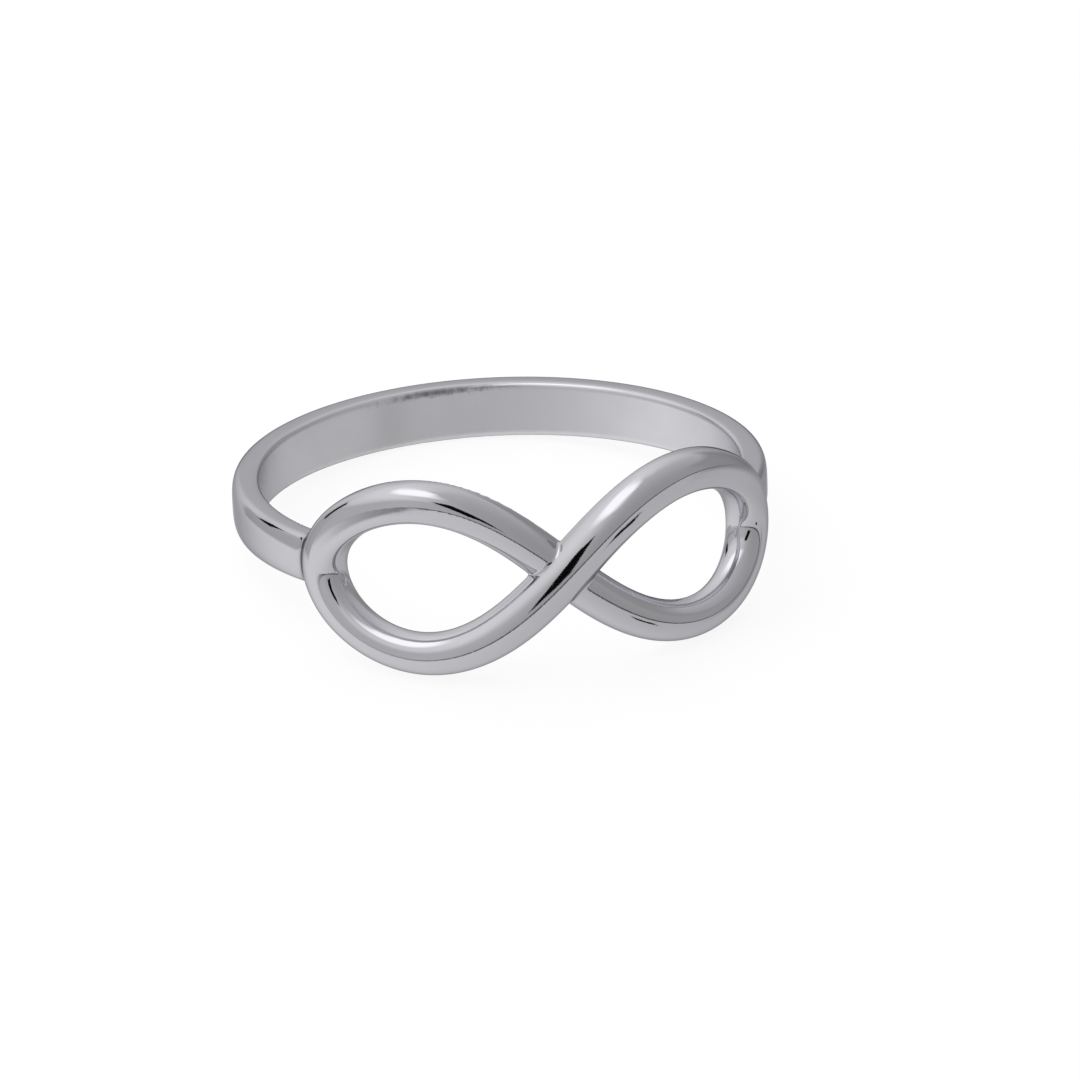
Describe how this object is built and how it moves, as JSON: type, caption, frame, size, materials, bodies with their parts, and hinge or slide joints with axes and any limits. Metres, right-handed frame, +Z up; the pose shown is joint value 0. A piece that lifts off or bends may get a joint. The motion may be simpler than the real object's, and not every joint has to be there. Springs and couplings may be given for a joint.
{
  "type": "infinity ring",
  "caption": "Finger ring whose slim band runs into a wire figure eight with one strand crossing over the other.",
  "frame": {"origin": "middle of the bottom of the ring's box, on the surface that the ring lies on", "axes": "+Z up from that surface, -Y from the band's back towards the figure eight, +X to the right seen from the figure eight's side"},
  "size_m": [0.019, 0.0192, 0.007],
  "materials": {
    "silver": "polished"
  },
  "bodies": {
    "root": {"infinity_ring": "silver"}
  },
  "joints": []
}
